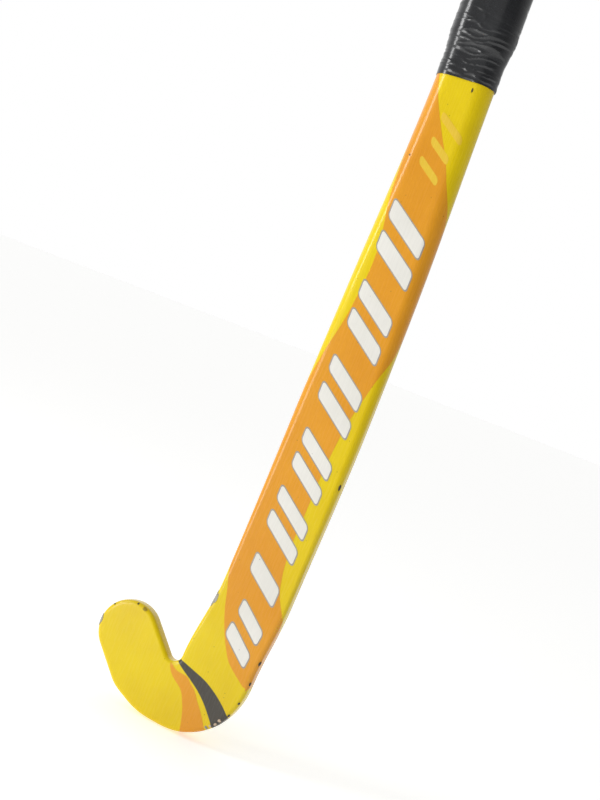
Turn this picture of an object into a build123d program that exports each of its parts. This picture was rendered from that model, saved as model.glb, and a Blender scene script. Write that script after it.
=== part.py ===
"""Composite field hockey stick: a moulded laminate round two shaft tubes and a foam head core, with a wound
cushion grip, two finishing tapes and a butt cap.

Frame: +Z runs up the stick from the head to the butt, the flat playing face looks towards -Y, the rounded
back towards +Y, and the hook opens upwards on the -X side. The origin is on the ground under the middle
of the stick's box. All sizes are in millimetres.

The shape is drawn flat first. A place on the face is (across, along): across is X, 0 on the shaft's centre
line, and along is the distance up the face from the sole under the crook. The bow then bends it.
"""

import os
from math import cos, radians, sin

from build123d import *

# ---------------------------------------------------------------- overall
overall_length = 927.0  # along the face, from the sole to the top of the butt cap
bow_depth = 22.0  # widest gap under a straightedge laid along the face
bow_start = 90.0  # the face is flat below this
handle_straight = 357.0  # the top of the stick, which has no bow

# ---------------------------------------------------------------- shaft
shaft_width = 48.0  # widest place of the shaft
shaft_width_at = 215.0
shaft_depth = 21.5
neck_width = 46.4  # just above the hook
neck_width_at = 100.0
neck_lean = 1.0  # the neck's middle stands this far towards the toe
head_depth = 20.5
waist_width = 38.4  # where the grip begins
waist_depth = 26.0
shoulder_width = 46.0  # last wide place below the waist
shoulder_at = 300.0
handle_width = 30.6  # bare handle at the butt
handle_depth = 27.0

# ---------------------------------------------------------------- head
sole_thickness = 39.8  # under the crook, from its floor down to the ground
crook_radius = 5.5
throat_width = 48.4  # across the neck at the crook's centre
throat_lean = 5.9  # how far the throat's middle stands towards the toe
heel_width = 47.8  # from the crook out to the heel
heel_at = 0.22  # how far round the head's turn that is, as a share of it
ball_width = 44.3  # between the heel and the sole
ball_at = 0.44
sole_at = 0.67
toe_root_width = 39.4
toe_root_at = 0.85
toe_width = 41.0
toe_turn = 135.0  # degrees that the head turns through, from the shaft to the toe
toe_straight = 23.5  # straight part of the toe between the crook and the round tip

# ---------------------------------------------------------------- section edges
head_corner = 2.6  # radius between the flat face and the side, on the head
shaft_corner = 5.0
waist_corner = 11.0
handle_corner = 12.0
head_wall = 5.5  # straight side wall behind that radius
shaft_wall = 2.5
handle_wall = 0.8

# ---------------------------------------------------------------- lay-up
wrap_thickness = 1.4  # outer laminate
liner_thickness = 1.0  # tubes of the shaft and liner of the head
strip_thickness = 0.6  # stiffening strips under the wrap
strip_edge_gap = 2.0  # from a strip's edge to the side of the tubes, at its upper end
strip_from = 125.0
strip_end_gap = 153.0  # from the strips' ends up to the bare end of the handle
face_dressing = 0.03  # the flat of the head is ground this deep
core_top = 112.0  # the head core ends here and the tubes begin
butt_foam_length = 70.0

# ---------------------------------------------------------------- grip and butt
grip_edge = 446.0  # where the tape begins, up the face
grip_thickness = 1.9
tape_on_shaft = 23.0  # the tape covers this much bare shaft, and then climbs on to the cushion grip
tape_thickness = 0.5
tape_length = 90.0
end_ramp = 7.0  # length over which a layer climbs on to another
top_tape_length = 24.0
cap_radius = 17.5
cap_length = 14.0
cap_rim_length = 10.0  # its straight round rim
spigot_length = 8.0
spigot_gap = 0.15

# ---------------------------------------------------------------- how closely the sections stand
shaft_spacing = 27.0
turn_spacing = 11.0  # degrees
handle_spacing = 50.0
band_spacing = 60.0
smallest_corner = 0.4  # an inner layer's corners don't get any sharper


def smooth_value(knots, place):
    """A smooth curve through (place, value) knots that doesn't overshoot them (monotone cubic)."""
    if place <= knots[0][0]:
        return knots[0][1]
    if place >= knots[-1][0]:
        return knots[-1][1]
    gaps = [b[0] - a[0] for a, b in zip(knots, knots[1:])]
    slopes = [(b[1] - a[1]) / gap for a, b, gap in zip(knots, knots[1:], gaps)]
    tangents = [0.0]
    for before, after in zip(slopes, slopes[1:]):
        same_way = before * after > 0
        tangents.append(2 * before * after / (before + after) if same_way else 0.0)
    tangents.append(0.0)
    i = max(n for n, knot in enumerate(knots[:-1]) if knot[0] <= place)
    t = (place - knots[i][0]) / gaps[i]
    return (
        (2 * t**3 - 3 * t**2 + 1) * knots[i][1]
        + (t**3 - 2 * t**2 + t) * gaps[i] * tangents[i]
        + (-2 * t**3 + 3 * t**2) * knots[i + 1][1]
        + (t**3 - t**2) * gaps[i] * tangents[i + 1]
    )


# ---------------------------------------------------------------- bow
# Two straight stretches joined by one arc, turned so that the sole and the butt lie on one upright line.
bow_end = overall_length - handle_straight
bow_middle = (bow_start + bow_end) / 2
upper_share = (overall_length - bow_middle) / overall_length
bow_turn = bow_depth / (upper_share * (bow_start + (bow_end - bow_start) / 2 * upper_share))
bow_radius = (bow_end - bow_start) / bow_turn
head_lean = bow_turn * upper_share  # radians


def face_lean(along):
    """How far the face leans back there, in radians."""
    return head_lean - (min(max(along, bow_start), bow_end) - bow_start) / bow_radius


def face_point(across, along):
    """The point of the face there."""
    low = min(along, bow_start)
    lean = face_lean(along)
    high = max(along - bow_end, 0.0)
    y = low * sin(head_lean) + bow_radius * (cos(lean) - cos(head_lean)) + high * sin(lean)
    z = low * cos(head_lean) + bow_radius * (sin(head_lean) - sin(lean)) + high * cos(lean)
    return Vector(across, y, z)


def backwards(along):
    """The direction from the face straight into the stick."""
    lean = face_lean(along)
    return Vector(0, cos(lean), -sin(lean))


def upwards(along):
    lean = face_lean(along)
    return Vector(0, sin(lean), cos(lean))


# ---------------------------------------------------------------- outline
crook_height = sole_thickness + crook_radius
crook_across = -throat_lean - throat_width / 2 - crook_radius
body_top = overall_length - cap_length

width_knots = [
    (crook_height, throat_width),
    (neck_width_at, neck_width),
    (shaft_width_at, shaft_width),
    (shoulder_at, shoulder_width),
    (grip_edge, waist_width),
    (body_top, handle_width),
]
lean_knots = [(crook_height, -throat_lean), (neck_width_at, -neck_lean), (shaft_width_at, 0.0)]
depth_knots = [
    (neck_width_at, head_depth),
    (shaft_width_at, shaft_depth),
    (grip_edge, waist_depth),
    (body_top, handle_depth),
]
corner_knots = [
    (neck_width_at, head_corner),
    (shaft_width_at, shaft_corner),
    (grip_edge, waist_corner),
    (body_top, handle_corner),
]
wall_knots = [(neck_width_at, head_wall), (shoulder_at, shaft_wall), (grip_edge, handle_wall)]
head_width_knots = [
    (0.0, throat_width),
    (heel_at, heel_width),
    (ball_at, ball_width),
    (sole_at, sole_thickness),
    (toe_root_at, toe_root_width),
    (1.0, toe_width),
]


class Station:
    """One cross-section: its plane, and the sizes of the D drawn in it."""

    def __init__(self, plane, width, depth, corner, wall):
        self.plane, self.width, self.depth = plane, width, depth
        self.corner, self.wall = corner, wall


def shaft_station(along):
    middle = smooth_value(lean_knots, along)
    plane = Plane(face_point(middle, along), x_dir=(1, 0, 0), z_dir=upwards(along))
    return Station(
        plane,
        smooth_value(width_knots, along),
        smooth_value(depth_knots, along),
        smooth_value(corner_knots, along),
        smooth_value(wall_knots, along),
    )


def head_station(turn, past=0.0):
    """A section of the head, turned that many degrees about the crook, and then that far along the toe."""
    outwards = Vector(cos(radians(turn)), 0, 0) - upwards(0) * sin(radians(turn))
    width = smooth_value(head_width_knots, turn / toe_turn)
    toewards = backwards(0).cross(outwards)
    crook = face_point(crook_across, crook_height)
    origin = crook + outwards * (crook_radius + width / 2) + toewards * past
    plane = Plane(origin, x_dir=outwards, z_dir=-toewards)
    return Station(plane, width, head_depth, head_corner, head_wall)


def even_places(low, high, spacing):
    """Evenly spaced places from low to high: a loft through uneven ones would bulge."""
    count = max(2, round((high - low) / spacing))
    return [low + (high - low) * n / count for n in range(count + 1)]


def section(station, inset=0.0, shift=0.0):
    """The D of a station, drawn smaller by inset: a flat front, two round corners and a half-ellipse back."""
    half = station.width / 2 - inset
    corner = max(station.corner - inset, smallest_corner)
    shoulder = station.corner + station.wall
    rise = station.depth - inset - shoulder
    edges = [
        Line((-half + corner, inset), (half - corner, inset)),
        RadiusArc((half - corner, inset), (half, inset + corner), -corner),
        Line((half, inset + corner), (half, shoulder)),
        EllipticalCenterArc((0, shoulder), half, rise, 0, arc_size=90),
        EllipticalCenterArc((0, shoulder), half, rise, 90, arc_size=90),
        Line((-half, shoulder), (-half, inset + corner)),
        RadiusArc((-half, inset + corner), (-half + corner, inset), -corner),
    ]
    return station.plane * Wire([edge.edge() for edge in edges])


# ---------------------------------------------------------------- cutting shapes
far = overall_length  # no cut reaches further


def span(low, high):
    """The space between two planes square to the stick, to cut a piece to its length."""
    corners = [
        face_point(0, low) - backwards(low) * far,
        face_point(0, low) + backwards(low) * far,
        face_point(0, high) + backwards(high) * far,
        face_point(0, high) - backwards(high) * far,
    ]
    return extrude(Face(Wire.make_polygon(corners)), far, dir=(1, 0, 0), both=True)


def half_space(sign, gap=0.0):
    """The space on one side of the shaft's centre plane: sign is -1 on the toe side, 1 on the heel side."""
    return Location((sign * (far / 2 + gap), 0, far / 2)) * Box(far, far, far)


def band(width, shallow, deep, low, high):
    """A band that follows the bow, between two depths behind the face."""
    places = even_places(low, high, band_spacing)
    front = [face_point(0, place) + backwards(place) * shallow for place in places]
    back = [face_point(0, place) + backwards(place) * deep for place in reversed(places)]
    return extrude(Face(Wire.make_polygon(front + back)), width / 2, dir=(1, 0, 0), both=True)


def before_face(depth):
    """The space in front of a plane that lies that deep in the flat of the head."""
    plane = Plane(face_point(0, 0), x_dir=(1, 0, 0), z_dir=upwards(0))
    front = Box(far, far, bow_start + far, align=(Align.CENTER, Align.MAX, Align.MIN))
    return plane * Location((0, depth, -far)) * front


# ---------------------------------------------------------------- the blank, in three stretches
def shaft(inset=0.0):
    """From the throat to the butt, smaller all round by inset."""
    places = even_places(crook_height, body_top, shaft_spacing)
    return Solid.make_loft([section(shaft_station(place), inset) for place in reversed(places)])


def heel(inset=0.0):
    """The turn of the head round the crook."""
    turns = even_places(0.0, toe_turn, turn_spacing)
    return Solid.make_loft([section(head_station(turn), inset) for turn in turns])


def toe(inset=0.0):
    """The straight of the toe, and its tip: half its section, turned half round about its middle."""
    first, last = head_station(toe_turn), head_station(toe_turn, toe_straight)
    straight = Solid.make_loft([section(first, inset), section(last, inset)])
    outer_half = last.plane * Location((far / 2, 0, 0)) * Box(far, far, 1)
    tip = revolve(Face(section(last, inset)) & outer_half, Axis(last.plane.origin, last.plane.y_dir), 180)
    return straight + tip


# ---------------------------------------------------------------- moulded pieces
under_strips = wrap_thickness + strip_thickness
inside = under_strips + liner_thickness
strip_to = body_top - strip_end_gap
strip_width = smooth_value(width_knots, strip_to) - 2 * (under_strips + strip_edge_gap)
tube_top = body_top - spigot_length

blank = {inset: (shaft(inset), heel(inset), toe(inset)) for inset in (0.0, wrap_thickness, inside)}


def layer(outer, inner, low=crook_height, high=body_top):
    """One layer of the moulding between two insets, cut off above high."""
    walls = [a - b for a, b in zip(blank[outer], blank[inner])]
    walls[0] = walls[0] & span(low, high)
    return walls[0] + walls[1] + walls[2]


def outer_wrap():
    return layer(0.0, wrap_thickness) - before_face(face_dressing)


def head_liner():
    return layer(wrap_thickness, inside, high=core_top)


def head_core():
    neck, turn, end = blank[inside]
    return (neck & span(crook_height, core_top)) + turn + end


# Where the strips press the tubes in: all of a band through the stick that lies outside the pressed tubes.
pressed_in = shaft(under_strips)
strip_space = band(strip_width, -handle_depth, 2 * handle_depth, strip_from, strip_to) - pressed_in


def strips():
    """The strip on the face side and the one on the back."""
    return (strip_space & blank[wrap_thickness][0]).solids().sort_by(Axis.Y)


def hollow(sign, low, high, gap=0.0):
    """The inside of one shaft tube between two places, smaller all round by gap."""
    inner = shaft(inside + gap) if gap else blank[inside][0]
    return inner & span(low, high) & half_space(sign, liner_thickness + gap)


tube_blank = (blank[wrap_thickness][0] & span(core_top, body_top)) - strip_space


def shaft_tube(sign):
    """One of the two tubes; their walls meet on the centre plane and make the rib."""
    return (tube_blank & half_space(sign)) - hollow(sign, core_top, body_top)


def butt_foam(sign):
    return hollow(sign, tube_top - butt_foam_length, tube_top)


# ---------------------------------------------------------------- handle
def envelope(knots):
    """The handle with a layer on it, given as (along, height of the layer) knots."""
    whole = Part()
    for (low, low_height), (high, high_height) in zip(knots, knots[1:]):
        places = even_places(low, high, handle_spacing)
        slope = (high_height - low_height) / (high - low)
        wires = [section(shaft_station(place), -low_height - slope * (place - low)) for place in places]
        whole += Solid.make_loft(list(reversed(wires)))
    return whole


grip_start = grip_edge + tape_on_shaft
grip_full = grip_start + end_ramp
gripped = envelope([(grip_start, tape_thickness), (grip_full, grip_thickness), (body_top, grip_thickness)])
taped = grip_thickness + tape_thickness


def cushion_grip():
    return gripped - blank[0.0][0]


def lower_tape():
    knots = [
        (grip_edge, tape_thickness),
        (grip_start - end_ramp, tape_thickness),
        (grip_full, taped),
        (grip_edge + tape_length, taped),
    ]
    return envelope(knots) - gripped - blank[0.0][0]


def upper_tape():
    return envelope([(body_top - top_tape_length, taped), (body_top, taped)]) - gripped


def butt_cap():
    """A turned cap on the end of the handle, with two lugs that plug the tubes."""
    end = shaft_station(body_top)
    seat = Plane(end.plane.origin + end.plane.y_dir * end.depth / 2, x_dir=(1, 0, 0), z_dir=end.plane.z_dir)
    disc = Cylinder(cap_radius, cap_length, align=(Align.CENTER, Align.CENTER, Align.MIN))
    disc = fillet(disc.edges().sort_by(Axis.Z)[-1], cap_length - cap_rim_length)
    lugs = [hollow(sign, tube_top, body_top, spigot_gap) for sign in (-1, 1)]
    return seat * disc + lugs


# ---------------------------------------------------------------- the parts, in the shared frame
face_strip, back_strip = strips()
pieces = {
    "outer_wrap": outer_wrap(),
    "head_liner": head_liner(),
    "head_core": head_core(),
    "toe_side_tube": shaft_tube(-1),
    "heel_side_tube": shaft_tube(1),
    "face_strip": face_strip,
    "back_strip": back_strip,
    "toe_side_butt_foam": butt_foam(-1),
    "heel_side_butt_foam": butt_foam(1),
    "cushion_grip": cushion_grip(),
    "lower_tape": lower_tape(),
    "upper_tape": upper_tape(),
    "butt_cap": butt_cap(),
}
box = Compound(children=[Compound(piece.solids()) for piece in pieces.values()]).bounding_box()
to_ground = Location((-box.center().X, -box.center().Y, -box.min.Z))

os.makedirs("parts", exist_ok=True)
for name, piece in pieces.items():
    export_step(to_ground * piece, f"parts/{name}.step")
print("overall", box.size, "moved by", to_ground.position)
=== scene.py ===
"""The finish of a composite field hockey stick: its paint and printed graphics, tapes, cushion grip and cap.

Lengths are in millimetres until a mesh is made, and then in metres. A place on the stick is given on the
flat of its face: across from the shaft's centre line, and along from the sole of the head.
"""

import random
from math import cos, pi, radians, sin, sqrt, tan

import bmesh
import bpy
import numpy as np
from mathutils import Matrix, Vector, noise


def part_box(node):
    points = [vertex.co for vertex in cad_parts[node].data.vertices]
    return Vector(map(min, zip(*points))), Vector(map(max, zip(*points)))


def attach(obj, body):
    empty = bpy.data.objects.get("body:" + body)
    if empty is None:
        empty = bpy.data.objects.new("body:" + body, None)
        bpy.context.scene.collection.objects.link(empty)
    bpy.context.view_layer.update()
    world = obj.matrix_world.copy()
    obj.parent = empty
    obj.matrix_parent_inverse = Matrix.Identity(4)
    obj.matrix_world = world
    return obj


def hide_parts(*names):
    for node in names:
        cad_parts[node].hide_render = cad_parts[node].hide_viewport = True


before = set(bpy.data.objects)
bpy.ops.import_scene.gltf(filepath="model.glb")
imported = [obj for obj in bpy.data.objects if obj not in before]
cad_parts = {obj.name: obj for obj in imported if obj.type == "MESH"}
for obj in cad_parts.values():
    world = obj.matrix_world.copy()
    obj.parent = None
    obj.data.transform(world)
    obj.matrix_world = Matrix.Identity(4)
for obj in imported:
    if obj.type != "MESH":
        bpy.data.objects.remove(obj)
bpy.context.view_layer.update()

# ---------------------------------------------------------------- painted stick
# The moulded stick: carbon, glass and aramid cloth cured in a closed mould, then sprayed yellow and
# lacquered. Its head is a hook with a flat face and a rounded back, and its shaft is slightly bowed.
mm = 0.001
overall_length = 927.0
bow_depth = 22.0
bow_start, bow_end = 90.0, 570.0
throat_width, throat_lean = 48.4, 5.9
sole_thickness = 39.8
crook_radius = 5.5
toe_turn, toe_straight = 135.0, 23.5
head_depth, head_corner, head_wall = 20.5, 2.6, 5.5
grip_edge = 446.0
body_top = 913.0
crook_height = sole_thickness + crook_radius
crook_across = -throat_lean - throat_width / 2 - crook_radius

# How each size changes up the shaft, and the head's width round its turn, as (place, size).
width_knots = [
    (crook_height, throat_width), (100, 46.4), (215, 48), (300, 46), (grip_edge, 38.4), (body_top, 30.6),
]
lean_knots = [(crook_height, -throat_lean), (100, -1.0), (215, 0.0)]
depth_knots = [(100, head_depth), (215, 21.5), (grip_edge, 26), (body_top, 27)]
corner_knots = [(100, head_corner), (215, 5), (grip_edge, 11), (body_top, 12)]
wall_knots = [(100, head_wall), (300, 2.5), (grip_edge, 0.8)]
head_width_knots = [
    (0, throat_width), (0.22, 47.8), (0.44, 44.3), (0.67, sole_thickness), (0.85, 39.4), (1, 41),
]


def smooth_value(knots, place):
    """A smooth curve through (place, value) knots that doesn't overshoot them."""
    if place <= knots[0][0]:
        return knots[0][1]
    if place >= knots[-1][0]:
        return knots[-1][1]
    gaps = [b[0] - a[0] for a, b in zip(knots, knots[1:])]
    slopes = [(b[1] - a[1]) / gap for a, b, gap in zip(knots, knots[1:], gaps)]
    tangents = [0.0]
    for before, after in zip(slopes, slopes[1:]):
        tangents.append(2 * before * after / (before + after) if before * after > 0 else 0.0)
    tangents.append(0.0)
    i = max(n for n, knot in enumerate(knots[:-1]) if knot[0] <= place)
    t = (place - knots[i][0]) / gaps[i]
    bend = (t**3 - 2 * t**2 + t) * tangents[i] + (t**3 - t**2) * tangents[i + 1]
    return knots[i][1] + (3 * t**2 - 2 * t**3) * (knots[i + 1][1] - knots[i][1]) + bend * gaps[i]


# The bow: a flat stretch, an arc and a straight handle, turned so that sole and butt are one above the other.
upper_share = 1 - (bow_start + bow_end) / 2 / overall_length
bow_turn = bow_depth / (upper_share * (bow_start + (bow_end - bow_start) / 2 * upper_share))
bow_radius = (bow_end - bow_start) / bow_turn
head_lean = bow_turn * upper_share


def bow(along):
    """The point of the face's centre line there, and the directions up the stick and back into it."""
    lean = head_lean - (min(max(along, bow_start), bow_end) - bow_start) / bow_radius
    low, high = min(along, bow_start), max(along - bow_end, 0.0)
    y = low * sin(head_lean) + bow_radius * (cos(lean) - cos(head_lean)) + high * sin(lean)
    z = low * cos(head_lean) + bow_radius * (sin(head_lean) - sin(lean)) + high * cos(lean)
    up, back = np.array([0.0, sin(lean), cos(lean)]), np.array([0.0, cos(lean), -sin(lean)])
    return np.array([0.0, y, z]), up, back


def shaft_station(along):
    """A section of the shaft: where its middle is, its two directions, and the sizes of its D."""
    middle, up, back = bow(along)
    middle[0] = smooth_value(lean_knots, along)
    sizes = [smooth_value(knots, along) for knots in (width_knots, depth_knots, corner_knots, wall_knots)]
    return middle, np.array([1.0, 0.0, 0.0]), back, sizes


def head_station(turn, past=0.0):
    """A section of the head, turned about the crook and then that far along the toe."""
    _, up, back = bow(0.0)
    crook, _, _ = bow(crook_height)
    crook[0] = crook_across
    outwards = np.array([cos(radians(turn)), 0.0, 0.0]) - up * sin(radians(turn))
    width = smooth_value(head_width_knots, turn / toe_turn)
    middle = crook + outwards * (crook_radius + width / 2) + np.cross(back, outwards) * past
    return middle, outwards, back, [width, head_depth, head_corner, head_wall]


def half_outline(sizes, grown=0.0, counts=(14, 11, 4, 26)):
    """Half of a D, grown by that much, from the middle of the face round to the middle of the back."""
    width, depth, corner, wall = sizes
    half, radius, shoulder = width / 2 + grown, corner + grown, corner + wall
    flat, arc, side, dome = [np.arange(count) / count for count in counts]
    dome = np.append(dome, 1.0) * pi / 2
    across = [
        flat * (half - radius),
        half - radius + radius * np.sin(arc * pi / 2),
        side * 0 + half,
        half * np.cos(dome),
    ]
    deep = [
        flat * 0 - grown,
        radius - grown - radius * np.cos(arc * pi / 2),
        corner + wall * side,
        shoulder + (depth + grown - shoulder) * np.sin(dome),
    ]
    return np.concatenate(across), np.concatenate(deep)


def on_skin(station, around, grown=0.0):
    """The points of a section that far round it from the middle of its face, negative on the toe side."""
    middle, sideways, back, sizes = station
    across, deep = half_outline(sizes)
    length = np.append(0.0, np.hypot(np.diff(across), np.diff(deep)).cumsum())
    across, deep = half_outline(sizes, grown)
    around = np.clip(np.asarray(around, float), -length[-1], length[-1])
    across_by = np.sign(around) * np.interp(abs(around), length, across)
    return middle + np.outer(across_by, sideways) + np.outer(np.interp(abs(around), length, deep), back)


def ring(station, grown=0.0):
    """All the points of one section, from the middle of the back round the toe side and the face."""
    middle, sideways, back, sizes = station
    across, deep = half_outline(sizes, grown)
    across = np.concatenate([-across[:0:-1], across[:-1]])
    deep = np.concatenate([deep[:0:-1], deep[:-1]])
    return middle + np.outer(across, sideways) + np.outer(deep, back)


def swollen(station, heights):
    """The same points, each raised from the skin by its own height."""
    bare = ring(station)
    return bare + (ring(station, 1.0) - bare) * np.asarray(heights, float)[:, None]


def places(low, high, spacing):
    """Evenly spaced places from low to high."""
    return np.linspace(low, high, max(2, round((high - low) / spacing) + 1))


def grid_faces(rows, columns, closed=False, first=0):
    """The quads between rows of points."""
    faces = []
    for i in range(rows - 1):
        for j in range(columns if closed else columns - 1):
            k = (j + 1) % columns
            corners = (i * columns + j, i * columns + k, (i + 1) * columns + k, (i + 1) * columns + j)
            faces.append([first + corner for corner in corners])
    return faces


def linear(colour):
    """An sRGB hex colour as the linear values that a shader takes."""
    channels = [int(colour[i : i + 2], 16) / 255 for i in (1, 3, 5)]
    return [c / 12.92 if c <= 0.04045 else ((c + 0.055) / 1.055) ** 2.4 for c in channels] + [1.0]


def add(tree, kind, inputs, **settings):
    """Adds a node; inputs gives each socket a value, or the output that feeds it."""
    made = tree.nodes.new(kind)
    for name, value in settings.items():
        setattr(made, name, value)
    for socket, value in inputs.items():
        if isinstance(value, bpy.types.NodeSocket):
            tree.links.new(value, made.inputs[socket])
        else:
            made.inputs[socket].default_value = value
    return made


def new_material(name, **sockets):
    """A material with its shader's even values set, and its nodes, its shader and the place on the object."""
    material = bpy.data.materials.new(name)
    material.use_nodes = True
    tree = material.node_tree
    shader = tree.nodes["Principled BSDF"]
    for socket, value in sockets.items():
        shader.inputs[socket.replace("_", " ")].default_value = value
    place = tree.nodes.new("ShaderNodeTexCoord").outputs["Object"]
    return material, tree, shader, place


def per_metre(size):
    """The noise scale that gives features of about that many millimetres."""
    return 1 / (size * mm)


def finish_piece(piece, material, sharp=35.0):
    """Welds and smooths a new mesh, gives it its material and lets it ride on the stick."""
    shape = bmesh.new()
    shape.from_mesh(piece.data)
    bmesh.ops.remove_doubles(shape, verts=shape.verts, dist=0.0005 * mm)
    bmesh.ops.dissolve_degenerate(shape, edges=shape.edges, dist=0.0005 * mm)
    bmesh.ops.recalc_face_normals(shape, faces=shape.faces)
    shape.to_mesh(piece.data)
    shape.free()
    piece.data.shade_smooth()
    piece.data.set_sharp_from_angle(angle=radians(sharp))
    piece.data.materials.append(material)
    bpy.context.scene.collection.objects.link(piece)
    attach(piece, "root")
    return piece


def new_piece(name, points, faces):
    """A mesh object from points in millimetres on the flat frame."""
    mesh = bpy.data.meshes.new(name)
    mesh.from_pydata([tuple(point) for point in (np.asarray(points) + to_row) * mm], [], faces)
    return bpy.data.objects.new(name, mesh)


def lacquered_paint(name, colour, shade):
    """Polyurethane paint under clear lacquer. It looks even and wet, with faint orange peel, specks of dirt
    and fine scuffs that catch the light."""
    gloss = {"Coat_Weight": 0.3, "Coat_Roughness": 0.08, "Specular_IOR_Level": 0.25}
    material, tree, shader, place = new_material(name, **gloss)
    cloud = add(tree, "ShaderNodeTexNoise", {"Vector": place, "Scale": per_metre(45), "Detail": 4.0})
    fade = add(tree, "ShaderNodeMapRange", {"Value": cloud.outputs["Fac"], "From Min": 0.35, "From Max": 0.7})
    tone = add(tree, "ShaderNodeMix", {"Factor": fade.outputs["Result"]}, data_type="RGBA")
    tone.inputs["A"].default_value = linear(colour)
    tone.inputs["B"].default_value = linear(shade)
    # Specks of dirt are 0.5 to 0.8 mm across, one in each 7 mm or so.
    dots = add(tree, "ShaderNodeTexVoronoi", {"Vector": place, "Scale": per_metre(7)})
    speck = add(tree, "ShaderNodeMapRange", {"Value": dots.outputs["Distance"]})
    speck.inputs["From Min"].default_value = 0.035
    speck.inputs["From Max"].default_value = 0.06
    speck.inputs["To Min"].default_value = 0.55
    speck.inputs["To Max"].default_value = 1.0
    marked = add(tree, "ShaderNodeVectorMath", {0: tone.outputs["Result"]}, operation="SCALE")
    tree.links.new(speck.outputs["Result"], marked.inputs["Scale"])
    tree.links.new(marked.outputs["Vector"], shader.inputs["Base Color"])
    # Scuffs are about 1.2 mm wide and 30 mm long, and run slantwise.
    slanted = {"Vector": place, "Scale": (1.0, 1.0, 0.04), "Rotation": (0, 0.5, 0)}
    stretched = add(tree, "ShaderNodeMapping", slanted)
    scuffs = add(tree, "ShaderNodeTexNoise", {"Vector": stretched.outputs["Vector"], "Scale": per_metre(1.2)})
    dull = add(tree, "ShaderNodeMapRange", {"Value": scuffs.outputs["Fac"]})
    dull.inputs["From Min"].default_value = 0.45
    dull.inputs["From Max"].default_value = 0.75
    dull.inputs["To Min"].default_value = 0.26
    dull.inputs["To Max"].default_value = 0.32
    tree.links.new(dull.outputs["Result"], shader.inputs["Roughness"])
    peel = add(tree, "ShaderNodeTexNoise", {"Vector": place, "Scale": per_metre(2.5), "Detail": 2.0})
    bump = add(tree, "ShaderNodeBump", {"Height": peel.outputs["Fac"]})
    bump.inputs["Strength"].default_value = 0.08
    bump.inputs["Distance"].default_value = 0.3 * mm
    tree.links.new(bump.outputs["Normal"], shader.inputs["Normal"])
    return material


yellow_paint = lacquered_paint("yellow_polyurethane_paint", "#E6CB00", "#DDBE02")

shaft_rows = [ring(shaft_station(along)) for along in places(crook_height, body_top, 4.0)[::-1]]
heel_rows = [ring(head_station(turn)) for turn in places(0, toe_turn, 2.5)[1:]]
toe_rows = [ring(head_station(toe_turn, past)) for past in places(0, toe_straight, 4.0)[1:]]
rings = shaft_rows + heel_rows + toe_rows
stick_points = np.concatenate(rings)
stick_faces = grid_faces(len(rings), len(rings[0]), closed=True)
stick_faces.append(list(range(len(rings[0])))[::-1])

# The toe's round end: the outer half of its last section, turned half round about its own middle.
middle, outwards, back, sizes = head_station(toe_turn, toe_straight)
across, deep = half_outline(sizes)
tip_rows = []
for angle in places(0, pi, radians(4)):
    direction = outwards * cos(angle) + np.cross(back, outwards) * sin(angle)
    tip_rows.append(middle + np.outer(across, direction) + np.outer(deep, back))
stick_faces += grid_faces(len(tip_rows), len(across), first=len(stick_points))
stick_points = np.concatenate([stick_points] + tip_rows)

# The flat frame is moved so that this skin lies where the moulded wrap is.
wrap_low, wrap_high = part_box("outer_wrap")
to_row = np.array((wrap_low + wrap_high) / 2) / mm - (stick_points.min(0) + stick_points.max(0)) / 2
painted_stick = new_piece("painted_stick", stick_points, stick_faces)
finish_piece(painted_stick, yellow_paint)
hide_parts("outer_wrap")

# ---------------------------------------------------------------- orange wave
# The large transfer on the shaft: an orange band that swings from one edge to the other and round on to
# the back. It is a thin film of ink under the lacquer, so it stands only a hair above the yellow.
film = 0.07

# Where the band's two edges run, as (along, way round from the middle of the face).
wave_toe_side = [
    (43, 23.0), (46, 18.5), (54, 6.5), (61, 0.5), (72, -7.0), (84, -13.5), (98, -18.8), (114, -24.5),
    (135, -33), (160, -40), (200, -36), (231, -25.5), (246, -21.6), (263, -18.3), (280, -14.8), (301, -12.2),
    (322, -10.9), (341, -12.6), (364, -17.0), (386, -19.5), (404, -22.5), (425, -30), (452, -38),
]
wave_heel_side = [
    (43, 23.4), (46, 31), (54, 37), (66, 37), (78, 33), (90, 25), (105, 15.4), (118, 11.5),
    (132, 9.6), (160, 9.4), (183, 9.6), (202, 10.5), (222, 12.8), (240, 16.6), (257, 20.9), (273, 27),
    (300, 36), (330, 36), (358, 27), (380, 15.5), (395, 9.0), (409, 1.0), (429, -9.5), (452, -19),
]


def bent_through(knots, place):
    """A smooth curve through (place, value) knots, free to swing either way between them."""
    at, values = np.array(knots, float).T
    slopes = np.gradient(values, at)
    i = int(np.clip(np.searchsorted(at, place) - 1, 0, len(at) - 2))
    gap = at[i + 1] - at[i]
    t = (place - at[i]) / gap
    bend = (t**3 - 2 * t**2 + t) * slopes[i] + (t**3 - t**2) * slopes[i + 1]
    return values[i] + (3 * t**2 - 2 * t**3) * (values[i + 1] - values[i]) + bend * gap


def plate(name, upper, lower, material):
    """A thin closed plate between two grids of points that match."""
    rows, columns = upper.shape[:2]
    count = rows * columns
    faces = grid_faces(rows, columns)
    faces += grid_faces(rows, columns, first=count)
    rim = list(range(columns))
    rim += [row * columns + columns - 1 for row in range(1, rows)]
    rim += [count - 2 - column for column in range(columns - 1)]
    rim += [row * columns for row in range(rows - 2, 0, -1)]
    faces += [[here, there, there + count, here + count] for here, there in zip(rim, rim[1:] + rim[:1])]
    points = np.concatenate([upper.reshape(-1, 3), lower.reshape(-1, 3)])
    return finish_piece(new_piece(name, points, faces), material)


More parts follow.
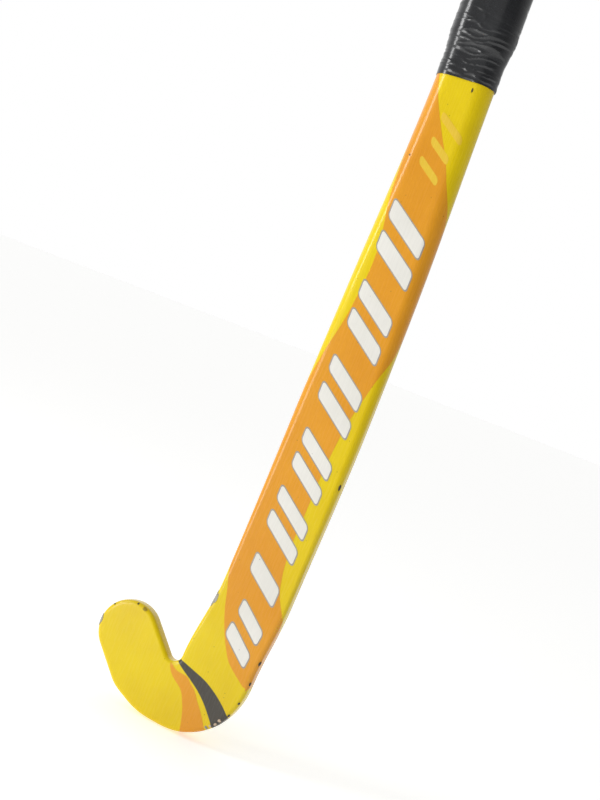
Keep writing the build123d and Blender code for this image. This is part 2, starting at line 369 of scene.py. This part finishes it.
def printed(name, station_at, cells, layer, material):
    """Ink over a grid of (way round, along or turn) cells. A higher layer lies over a lower one."""
    skins = []
    for grown in (film * layer, -film):
        skins.append([[on_skin(station_at(at), [around], grown)[0] for around, at in row] for row in cells])
    return plate(name, np.array(skins[0]), np.array(skins[1]), material)


orange_ink = lacquered_paint("orange_transfer_ink", "#E39C22", "#DB921C")
wave_cells = []
for along in places(wave_toe_side[0][0], wave_toe_side[-1][0], 2.0):
    low, high = bent_through(wave_toe_side, along), bent_through(wave_heel_side, along)
    wave_cells.append([(around, along) for around in np.linspace(low, high, 60)])
printed("orange_wave", shaft_station, wave_cells, 1, orange_ink)

# ---------------------------------------------------------------- head stripes
# An orange stripe and a charcoal one cross the head from the crook to the sole, in the same printed film.
# Their edges are (way round from the middle of the head's face, turn about the crook in degrees).
charcoal_ink = lacquered_paint("charcoal_transfer_ink", "#45423C", "#4B4740")

orange_stripe = (
    [(-19, 87.5), (-17.5, 84.5), (-6.9, 57.5), (4.1, 55.9), (11.8, 58.2), (19.5, 61), (30, 65.5)],
    [
        (-19, 71.5), (-18, 66.5), (-14.3, 43.5), (-5.9, 36.1), (6.1, 38.9), (14.2, 40.7), (21.9, 42.8),
        (30, 45.5),
    ],
)
charcoal_stripe = (
    [
        (-23.5, 41.5), (-21, 39.4), (-12.6, 34.3), (-2.9, 32.3), (5.9, 33.2), (14.2, 35.2), (22.8, 37.5),
        (30, 40.5),
    ],
    [
        (-23.5, 19.5), (-22.3, 18.8), (-10.8, 16.2), (-3.2, 16), (5.3, 18), (14.9, 21), (22.1, 23.6),
        (30, 26.5),
    ],
)
for name, edges, ink in (
    ("orange_head_stripe", orange_stripe, orange_ink),
    ("charcoal_head_stripe", charcoal_stripe, charcoal_ink),
):
    cells = []
    for around in places(edges[0][0][0], edges[0][-1][0], 1.0):
        turns = np.linspace(bent_through(edges[0], around), bent_through(edges[1], around), 14)
        cells.append([(around, turn) for turn in turns])
    printed(name, head_station, cells, 1, ink)

# ---------------------------------------------------------------- slanted bars
# Seven groups of slanted white bars run up the middle of the face, and three faint yellow ones cross the
# top of the wave. They are printed film too: each white bar lies on a slightly larger grey one.
white_ink = lacquered_paint("white_transfer_ink", "#E9E7E0", "#E0DED6")
grey_ink = lacquered_paint("grey_transfer_ink", "#9C9890", "#A8A49C")
pale_ink = lacquered_paint("pale_yellow_transfer_ink", "#E8C53A", "#E2BC38")
bar_slant = 0.71
bar_outline = 0.8
bar_corner = 2.2


def bar_cells(middle, width, thickness, grown):
    """A slanted bar across the face, with rounded ends: middle is (way round, along)."""
    half, corner = width / 2 + grown, bar_corner + grown
    cells = []
    for step in places(-1, 1, 1 / 18):
        around = half * sin(step * pi / 2)
        into = max(0.0, abs(around) - (half - corner))
        reach = thickness / 2 + grown - corner + sqrt(max(corner**2 - into**2, 0.0))
        centre = middle[1] - bar_slant * around
        cells.append([(middle[0] + around, centre + reach * share) for share in (-1, -0.5, 0, 0.5, 1)])
    return cells


# Each group is (way round, along, width of its bars, their thickness, gap between them), and has one bar if
# the gap is 0.
bar_groups = [
    (5.5, 75, 21, 9, 7), (2, 111, 23, 12, 0), (1.5, 148, 26, 9.5, 7), (1.5, 188, 25, 9.5, 7),
    (1.5, 235, 27, 10.5, 8), (1.5, 285, 27, 11, 8), (1.5, 337, 28, 12, 9),
]
for number, (around, along, width, thickness, gap) in enumerate(bar_groups, 1):
    for side in (-1, 1) if gap else (0,):
        middle = around, along + side * (thickness + gap) / 2
        name = f"bar_{number}_{('lower', 'single', 'upper')[side + 1]}"
        outline, bar = (bar_cells(middle, width, thickness, grown) for grown in (bar_outline, 0.0))
        printed(f"{name}_outline", shaft_station, outline, 2, grey_ink)
        printed(name, shaft_station, bar, 3, white_ink)
pale_thickness = 5.5
for number, (around, along, width) in enumerate([(1, 386, 16), (3, 400, 15), (5, 415, 18)], 1):
    bar = bar_cells((around, along), width, pale_thickness, 0.0)
    printed(f"pale_bar_{number}", shaft_station, bar, 2, pale_ink)

# ---------------------------------------------------------------- chips and scuffs
# Knocks have broken the paint at the edges of the head and the shaft. The laminate or the primer shows there
# in small ragged spots, and the head keeps a few dark specks of turf.
bare_laminate = lacquered_paint("chipped_grey_laminate", "#A9A69D", "#8D8A82")
brown_scuff = lacquered_paint("brown_scuffed_primer", "#B59A22", "#8F7A28")
dark_dirt = lacquered_paint("dark_turf_dirt", "#3B362A", "#4A4230")
pale_primer = lacquered_paint("pale_chipped_primer", "#D9C3AE", "#CDB49A")


def tip_station(angle):
    """A section of the toe's round tip, turned that many degrees about its middle."""
    middle, outwards, back, sizes = head_station(toe_turn, toe_straight)
    direction = outwards * cos(radians(angle)) + np.cross(back, outwards) * sin(radians(angle))
    return middle, direction, back, sizes


def ragged_spot(name, station_at, centre, half_sizes, material):
    """A spot with a torn outline: its centre and half sizes are (way round, along or turn)."""
    cells = []
    for step in places(-1, 1, 0.125):
        around = half_sizes[0] * step
        reach = half_sizes[1] * max(1 - step**2, 0.0) ** 0.5
        low, high = -reach * uneven.uniform(0.5, 1.15), reach * uneven.uniform(0.5, 1.15)
        bottom, height = centre[1] + low, high - low
        cells.append([(centre[0] + around, bottom + height * share) for share in (0, 0.33, 0.67, 1)])
    printed(name, station_at, cells, 4, material)


uneven = random.Random(7)
# Each spot is (the sections it lies on, its centre, its half sizes, what shows in it).
spots = [
    (shaft_station, (-23.2, 87), (2.4, 5.2), bare_laminate),
    (tip_station, (20.5, 45), (2.0, 11.0), bare_laminate),
    (tip_station, (19.0, 152), (1.2, 5.5), brown_scuff),
    (tip_station, (19.5, 135), (0.8, 2.0), dark_dirt),
    (tip_station, (19.8, 85), (0.7, 1.6), dark_dirt),
    (shaft_station, (24.0, 62), (0.9, 1.6), dark_dirt),
    (shaft_station, (24.2, 48), (0.8, 1.2), dark_dirt),
    (shaft_station, (23.6, 182), (0.8, 2.2), dark_dirt),
    (shaft_station, (8.5, 441), (0.5, 1.4), dark_dirt),
    (shaft_station, (-14.5, 392), (0.5, 0.6), dark_dirt),
    (head_station, (23.6, 12), (0.7, 1.0), dark_dirt),
    (head_station, (23.8, 23), (0.9, 1.2), dark_dirt),
    (head_station, (22.2, 30), (1.0, 1.3), pale_primer),
    (head_station, (22.6, 34), (0.8, 1.2), pale_primer),
    (head_station, (22.0, 38), (0.9, 0.9), pale_primer),
    (head_station, (22.0, 41), (1.4, 0.9), bare_laminate),
]
for number, (station_at, centre, half_sizes, material) in enumerate(spots, 1):
    ragged_spot(f"chip_{number}", station_at, centre, half_sizes, material)

# ---------------------------------------------------------------- lower tape
# Glossy black vinyl finishing tape, wound by hand over the start of the cushion grip and down on to the bare
# shaft. Pulled round a tapering handle, it puckers into short creases across the stick.
grip_thickness, tape_thickness = 1.9, 0.5
tape_on_shaft, end_ramp = 23.0, 7.0
tape_length = 90.0
tape_pitch, tape_ledge = 15.0, 0.16
grip_start = grip_edge + tape_on_shaft
columns_round = len(ring(shaft_station(grip_edge)))


def black_vinyl(name, colour):
    """Stretched vinyl tape. It looks wet and near black, with fine creases in its shine."""
    material, tree, shader, place = new_material(name, Coat_Weight=0.5, Coat_Roughness=0.1)
    cloud = add(tree, "ShaderNodeTexNoise", {"Vector": place, "Scale": per_metre(18), "Detail": 5.0})
    tone = add(tree, "ShaderNodeMix", {"Factor": cloud.outputs["Fac"]}, data_type="RGBA")
    tone.inputs["A"].default_value = linear(colour)
    tone.inputs["B"].default_value = linear("#17191D")
    tree.links.new(tone.outputs["Result"], shader.inputs["Base Color"])
    gloss = add(tree, "ShaderNodeMapRange", {"Value": cloud.outputs["Fac"], "From Min": 0.3, "From Max": 0.7})
    gloss.inputs["To Min"].default_value = 0.2
    gloss.inputs["To Max"].default_value = 0.4
    tree.links.new(gloss.outputs["Result"], shader.inputs["Roughness"])
    # The finest creases are about 1.8 mm apart up the stick and 11 mm long across it.
    squeezed = add(tree, "ShaderNodeMapping", {"Vector": place, "Scale": (0.16, 0.16, 1.0)})
    creases = add(tree, "ShaderNodeTexNoise", {"Vector": squeezed.outputs["Vector"], "Detail": 3.0})
    creases.inputs["Scale"].default_value = per_metre(1.8)
    bump = add(tree, "ShaderNodeBump", {"Height": creases.outputs["Fac"]})
    bump.inputs["Strength"].default_value = 0.35
    bump.inputs["Distance"].default_value = 0.5 * mm
    tree.links.new(bump.outputs["Normal"], shader.inputs["Normal"])
    return material


def wound(name, bounds, height_at, thickness, spacing, material):
    """A sleeve of wound tape between two places up the stick. Its outside stands height_at off the skin."""
    low, high = bounds
    share = np.arange(columns_round) / columns_round
    rows = places(low, high, spacing)
    heights = [np.array([height_at(along, turn) for turn in share]) for along in rows]
    outer = [swollen(shaft_station(along), height) for along, height in zip(rows, heights)]
    inner = [swollen(shaft_station(along), height - thickness) for along, height in zip(rows, heights)]
    sleeve = np.concatenate(outer + inner[::-1] + outer[:1])
    faces = grid_faces(2 * len(rows) + 1, columns_round, closed=True)
    return finish_piece(new_piece(name, sleeve, faces), material)


def ledge(along, turn, pitch, height):
    """The step where each turn of a winding overlaps the one below it."""
    step_at = 0.93
    climb = (along / pitch + turn) % 1.0
    return height * (climb**0.5 if climb < step_at else (1 - climb) / (1 - step_at))


def pucker(along, turn, seed):
    """Creases that run across the stick a few millimetres apart, stronger on the toe side."""
    crease_height, crease_spacing, patch_length = 0.5, 3.4, 22
    most_at = 0.36
    spread = Vector((cos(2 * pi * turn), sin(2 * pi * turn), 0))
    ridge = 1 - abs(noise.noise(spread * 0.9 + Vector((seed, 0, along / crease_spacing)))) * 2.4
    toe_side = 0.5 + 0.5 * cos(2 * pi * (turn - most_at))
    patch = noise.noise(spread * 0.7 + Vector((0, seed, along / patch_length)))
    where = patch + 0.25 + 0.7 * toe_side**2
    return crease_height * max(ridge, 0.0) ** 2 * min(max(where, 0.0), 1.0)


def lower_tape_height(along, turn):
    under = np.interp(along, [grip_start - end_ramp, grip_start + end_ramp], [0.0, grip_thickness])
    return under + tape_thickness + ledge(along, turn, tape_pitch, tape_ledge) + pucker(along, turn, 3.0)


lower_vinyl = black_vinyl("glossy_black_vinyl_tape", "#0B0C0F")
lower_bounds = grip_edge, grip_edge + tape_length
lower_tape = wound(
    "lower_finishing_tape", lower_bounds, lower_tape_height, 0.48, 0.6, lower_vinyl
)
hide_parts("lower_tape")

# ---------------------------------------------------------------- cushion grip
# A strip of black polyurethane on thin foam, about 25 mm wide, wound up the handle so that each turn laps
# the last and leaves a soft ridge. Its skin is finely pebbled and pierced with small holes to breathe.
grip_pitch, grip_ledge = 23.0, 0.45
grip_rubber, tree, shader, place = new_material("black_polyurethane_grip", Specular_IOR_Level=0.35)
patches = add(tree, "ShaderNodeTexNoise", {"Vector": place, "Scale": per_metre(30), "Detail": 5.0})
tone = add(tree, "ShaderNodeMix", {"Factor": patches.outputs["Fac"]}, data_type="RGBA")
tone.inputs["A"].default_value = linear("#16171A")
tone.inputs["B"].default_value = linear("#2B2C2F")
tree.links.new(tone.outputs["Result"], shader.inputs["Base Color"])
worn = add(tree, "ShaderNodeMapRange", {"Value": patches.outputs["Fac"], "From Min": 0.3, "From Max": 0.7})
worn.inputs["To Min"].default_value = 0.62
worn.inputs["To Max"].default_value = 0.42
tree.links.new(worn.outputs["Result"], shader.inputs["Roughness"])
pebbles = add(tree, "ShaderNodeTexVoronoi", {"Vector": place, "Scale": per_metre(1.3)})
holes = add(tree, "ShaderNodeTexVoronoi", {"Vector": place, "Scale": per_metre(6.5)}, feature="F1")
holes.inputs["Randomness"].default_value = 0.15
pit = add(tree, "ShaderNodeMapRange", {"Value": holes.outputs["Distance"]})
pit.inputs["From Min"].default_value = 0.06
pit.inputs["From Max"].default_value = 0.13
pebble_bump = add(tree, "ShaderNodeBump", {"Height": pebbles.outputs["Distance"], "Strength": 0.3})
pebble_bump.inputs["Distance"].default_value = 0.25 * mm
pit_bump = add(tree, "ShaderNodeBump", {"Height": pit.outputs["Result"], "Strength": 0.8})
pit_bump.inputs["Distance"].default_value = 0.6 * mm
tree.links.new(pebble_bump.outputs["Normal"], pit_bump.inputs["Normal"])
tree.links.new(pit_bump.outputs["Normal"], shader.inputs["Normal"])


def grip_height(along, turn):
    climb = np.interp(along, [grip_start, grip_start + end_ramp], [0.2, 1.0])
    lap = ledge(along, turn, grip_pitch, grip_ledge)
    soft = 0.12 * noise.noise(Vector((2 * cos(2 * pi * turn), 2 * sin(2 * pi * turn), along / 14)))
    return climb * (grip_thickness - 0.3 + lap + soft)


grip_bounds = grip_start, body_top
cushion_grip = wound("wound_cushion_grip", grip_bounds, grip_height, 1.2, 1.3, grip_rubber)
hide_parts("cushion_grip")

# ---------------------------------------------------------------- upper tape
# Two turns of vinyl tape hold the end of the grip just under the butt cap. They are pulled tight, so they
# crease less than the lower ones.
top_tape_length = 24.0
top_pitch = 12.0


def upper_tape_height(along, turn):
    step = ledge(along, turn, top_pitch, tape_ledge)
    return grip_thickness + tape_thickness + step + 0.3 * pucker(along, turn, 9.0)


upper_vinyl = black_vinyl("tight_black_vinyl_tape", "#0E0F12")
upper_bounds = body_top - top_tape_length, body_top
upper_tape = wound(
    "upper_finishing_tape", upper_bounds, upper_tape_height, 0.5, 0.6, upper_vinyl
)
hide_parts("upper_tape")

# ---------------------------------------------------------------- butt cap
# A moulded rubber cap closes the end of the handle. Its rim has three fine grooves, and its top is dished.
cap_radius, cap_length, cap_rim_length = 17.5, 14.0, 10.0
cap_sides = 96
cap_rubber, tree, shader, place = new_material("matt_black_rubber", Specular_IOR_Level=0.3)
dust = add(tree, "ShaderNodeTexNoise", {"Vector": place, "Scale": per_metre(9), "Detail": 6.0})
tone = add(tree, "ShaderNodeMix", {"Factor": dust.outputs["Fac"]}, data_type="RGBA")
tone.inputs["A"].default_value = linear("#1A1A1C")
tone.inputs["B"].default_value = linear("#303032")
tree.links.new(tone.outputs["Result"], shader.inputs["Base Color"])
rubbed = add(tree, "ShaderNodeMapRange", {"Value": dust.outputs["Fac"], "To Min": 0.55, "To Max": 0.8})
tree.links.new(rubbed.outputs["Result"], shader.inputs["Roughness"])
grain = add(tree, "ShaderNodeTexNoise", {"Vector": place, "Scale": per_metre(0.8), "Detail": 2.0})
bump = add(tree, "ShaderNodeBump", {"Height": grain.outputs["Fac"], "Strength": 0.25, "Distance": 0.3 * mm})
tree.links.new(bump.outputs["Normal"], shader.inputs["Normal"])

# The cap's outline from its foot to the middle of its top, as (radius, height) pairs.
cap_outline = [(14.0, 0.0), (16.9, 0.0), (17.3, 0.25), (cap_radius, 0.8)]
for groove in (3.0, 5.4, 7.8):
    cap_outline += [(cap_radius, groove - 0.5), (17.2, groove - 0.3), (17.05, groove)]
    cap_outline += [(17.2, groove + 0.3), (cap_radius, groove + 0.5)]
cap_outline.append((cap_radius, cap_rim_length))
cap_round = cap_length - cap_rim_length
for angle in places(0, pi / 2, pi / 16)[1:]:
    round_over = cap_radius - cap_round + cap_round * cos(angle), cap_rim_length + cap_round * sin(angle)
    cap_outline.append(round_over)
cap_outline += [(10.4, cap_length), (10.0, 13.85), (9.7, 13.5), (9.3, 13.3), (5.0, 13.1), (0.0, 13.05)]
middle, sideways, back, sizes = shaft_station(body_top)
_, up, _ = bow(body_top)
_, handle_depth, _, _ = sizes
seat = middle + back * handle_depth / 2
cap_points = []
for angle in places(0, 2 * pi, 2 * pi / cap_sides):
    direction = sideways * cos(angle) + back * sin(angle)
    cap_points += [seat + direction * radius + up * height for radius, height in cap_outline]
foot = len(cap_points)
cap_points.append(seat)
cap_faces = grid_faces(cap_sides + 1, len(cap_outline))
cap_faces += [[i * len(cap_outline), foot, (i + 1) * len(cap_outline)] for i in range(cap_sides)]
butt_cap = new_piece("turned_butt_cap", cap_points, cap_faces)
finish_piece(butt_cap, cap_rubber, sharp=50.0)
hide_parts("butt_cap")

# ---------------------------------------------------------------- tubes, liner, strips and foam
# These are cured and bonded inside the skin: two woven carbon tubes whose walls make the rib, the head's
# liner, two strips of straight carbon fibre, and pale foam in the head and at the butt.


def woven_carbon():
    """Woven carbon laminate. Its 2 mm tows look light and dark in turn, like a fine chequer."""
    material, tree, shader, place = new_material("woven_carbon_laminate", Coat_Weight=0.4, Coat_Roughness=0.2)
    tows = add(tree, "ShaderNodeTexChecker", {"Vector": place, "Scale": per_metre(2.0)})
    tows.inputs["Color1"].default_value = linear("#1B1C1E")
    tows.inputs["Color2"].default_value = linear("#33353A")
    tree.links.new(tows.outputs["Color"], shader.inputs["Base Color"])
    sheen = add(tree, "ShaderNodeMapRange", {"Value": tows.outputs["Fac"], "To Min": 0.25, "To Max": 0.45})
    tree.links.new(sheen.outputs["Result"], shader.inputs["Roughness"])
    return material


def straight_carbon():
    """Straight carbon fibre. Its grain runs up the stick and shines like brushed graphite."""
    gloss = {"Coat_Weight": 0.3, "Coat_Roughness": 0.25}
    material, tree, shader, place = new_material("unidirectional_carbon", **gloss)
    stretched = add(tree, "ShaderNodeMapping", {"Vector": place, "Scale": (1.0, 1.0, 0.02)})
    fibres = add(tree, "ShaderNodeTexNoise", {"Vector": stretched.outputs["Vector"], "Scale": per_metre(0.5)})
    tone = add(tree, "ShaderNodeMix", {"Factor": fibres.outputs["Fac"]}, data_type="RGBA")
    tone.inputs["A"].default_value = linear("#141517")
    tone.inputs["B"].default_value = linear("#3C3E42")
    tree.links.new(tone.outputs["Result"], shader.inputs["Base Color"])
    shader.inputs["Roughness"].default_value = 0.35
    return material


def core_foam():
    """Rigid polyurethane foam. It looks pale and dry, with closed cells about 1 mm across."""
    material, tree, shader, place = new_material("pale_polyurethane_foam", Roughness=0.9)
    cells = add(tree, "ShaderNodeTexVoronoi", {"Vector": place, "Scale": per_metre(1.0)})
    tone = add(tree, "ShaderNodeMix", {"Factor": cells.outputs["Distance"]}, data_type="RGBA")
    tone.inputs["A"].default_value = linear("#D8CBA6")
    tone.inputs["B"].default_value = linear("#B9A87C")
    tree.links.new(tone.outputs["Result"], shader.inputs["Base Color"])
    bump = add(tree, "ShaderNodeBump", {"Height": cells.outputs["Distance"], "Strength": 0.5})
    bump.inputs["Distance"].default_value = 0.4 * mm
    tree.links.new(bump.outputs["Normal"], shader.inputs["Normal"])
    return material


inner_materials = {
    woven_carbon(): ("head_liner", "toe_side_tube", "heel_side_tube"),
    straight_carbon(): ("face_strip", "back_strip"),
    core_foam(): ("head_core", "toe_side_butt_foam", "heel_side_butt_foam"),
}
for material, nodes in inner_materials.items():
    for node in nodes:
        inner_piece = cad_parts[node]
        for slot in inner_piece.material_slots:
            slot.material = material

# ---------------------------------------------------------------- floor, light and camera
# A pale floor that glows faintly, in a pale room.
bpy.ops.mesh.primitive_circle_add(vertices=96, radius=12.0, fill_type="NGON", location=(0, 0, 0))
floor = bpy.context.object
floor.name = "pale_floor"
floor_paint, tree, shader, place = new_material("matt_white_floor", Roughness=0.9, Emission_Strength=0.45)
shader.inputs["Emission Color"].default_value = (1.0, 1.0, 1.0, 1.0)
grit = add(tree, "ShaderNodeTexNoise", {"Vector": place, "Scale": per_metre(4), "Detail": 3.0})
tone = add(tree, "ShaderNodeMix", {"Factor": grit.outputs["Fac"]}, data_type="RGBA")
tone.inputs["A"].default_value = linear("#F6F6F4")
tone.inputs["B"].default_value = linear("#F1F1EF")
tree.links.new(tone.outputs["Result"], shader.inputs["Base Color"])
floor.data.materials.append(floor_paint)

# The room is white behind the stick and on its toe side, and dim in front and on its heel side.
world = bpy.data.worlds.new("pale_room")
world.use_nodes = True
tree = world.node_tree
direction = tree.nodes.new("ShaderNodeTexCoord").outputs["Generated"]
ray = add(tree, "ShaderNodeSeparateXYZ", {"Vector": direction})
heel_side = add(tree, "ShaderNodeMapRange", {"Value": ray.outputs["X"], "From Min": 0.02, "From Max": 0.26})
heel_side.inputs["To Min"].default_value = 1.0
heel_side.inputs["To Max"].default_value = 0.45
in_front = add(tree, "ShaderNodeMapRange", {"Value": ray.outputs["Y"], "From Min": -0.3, "From Max": 0.5})
in_front.inputs["To Min"].default_value = 0.5
in_front.inputs["To Max"].default_value = 1.0
both = {0: heel_side.outputs["Result"], 1: in_front.outputs["Result"]}
strength = add(tree, "ShaderNodeMath", both, operation="MULTIPLY")
tree.links.new(strength.outputs["Value"], tree.nodes["Background"].inputs["Strength"])
tree.nodes["Background"].inputs["Color"].default_value = (1.0, 1.0, 1.0, 1.0)
bpy.context.scene.world = world


def softbox(name, place, aim, width, height, power):
    """A softbox at a place, turned to its aim; lengths are in metres."""
    light = bpy.data.lights.new(name, "AREA")
    light.shape = "RECTANGLE"
    light.size, light.size_y = width, height
    light.energy = power
    lamp = bpy.data.objects.new(name, light)
    lamp.location = place
    lamp.rotation_euler = (Vector(aim) - Vector(place)).to_track_quat("-Z", "Y").to_euler()
    bpy.context.scene.collection.objects.link(lamp)


softbox("key_light", (-0.5, -0.75, 0.15), (-0.02, 0, 0.08), 0.35, 0.35, 2.3)
softbox("strip_light", (-0.8, -0.5, 0.65), (0, 0, 0.45), 0.24, 0.5, 3.2)

# Colours come out as they are given.
bpy.context.scene.view_settings.view_transform = "Standard"

# The camera looks at the lower half of the stick, from a little to the heel side, and is rolled so that
# the stick leans to the right.
camera_distance = 0.758
camera_azimuth = radians(17.1)
camera_roll = radians(21.1)
camera_height = radians(3.5)
field_of_view = radians(36.93)
aim_along, aim_across = 223.6, -22.0
aim = Vector((bow(aim_along)[0] + np.array([aim_across, 0, 0]) + to_row) * mm)
level = Vector((sin(camera_azimuth), -cos(camera_azimuth), 0))
away = level * cos(camera_height) + Vector((0, 0, sin(camera_height)))
camera = bpy.data.objects.new("camera", bpy.data.cameras.new("camera"))
camera.data.sensor_fit = "VERTICAL"
camera.data.sensor_height = 24.0
camera.data.lens = camera.data.sensor_height / 2 / tan(field_of_view / 2)
camera.location = aim + away * camera_distance
look = (-away).to_track_quat("-Z", "Y").to_matrix().to_4x4()
camera.rotation_euler = (look @ Matrix.Rotation(camera_roll, 4, "Z")).to_euler()
bpy.context.scene.collection.objects.link(camera)
bpy.context.scene.camera = camera
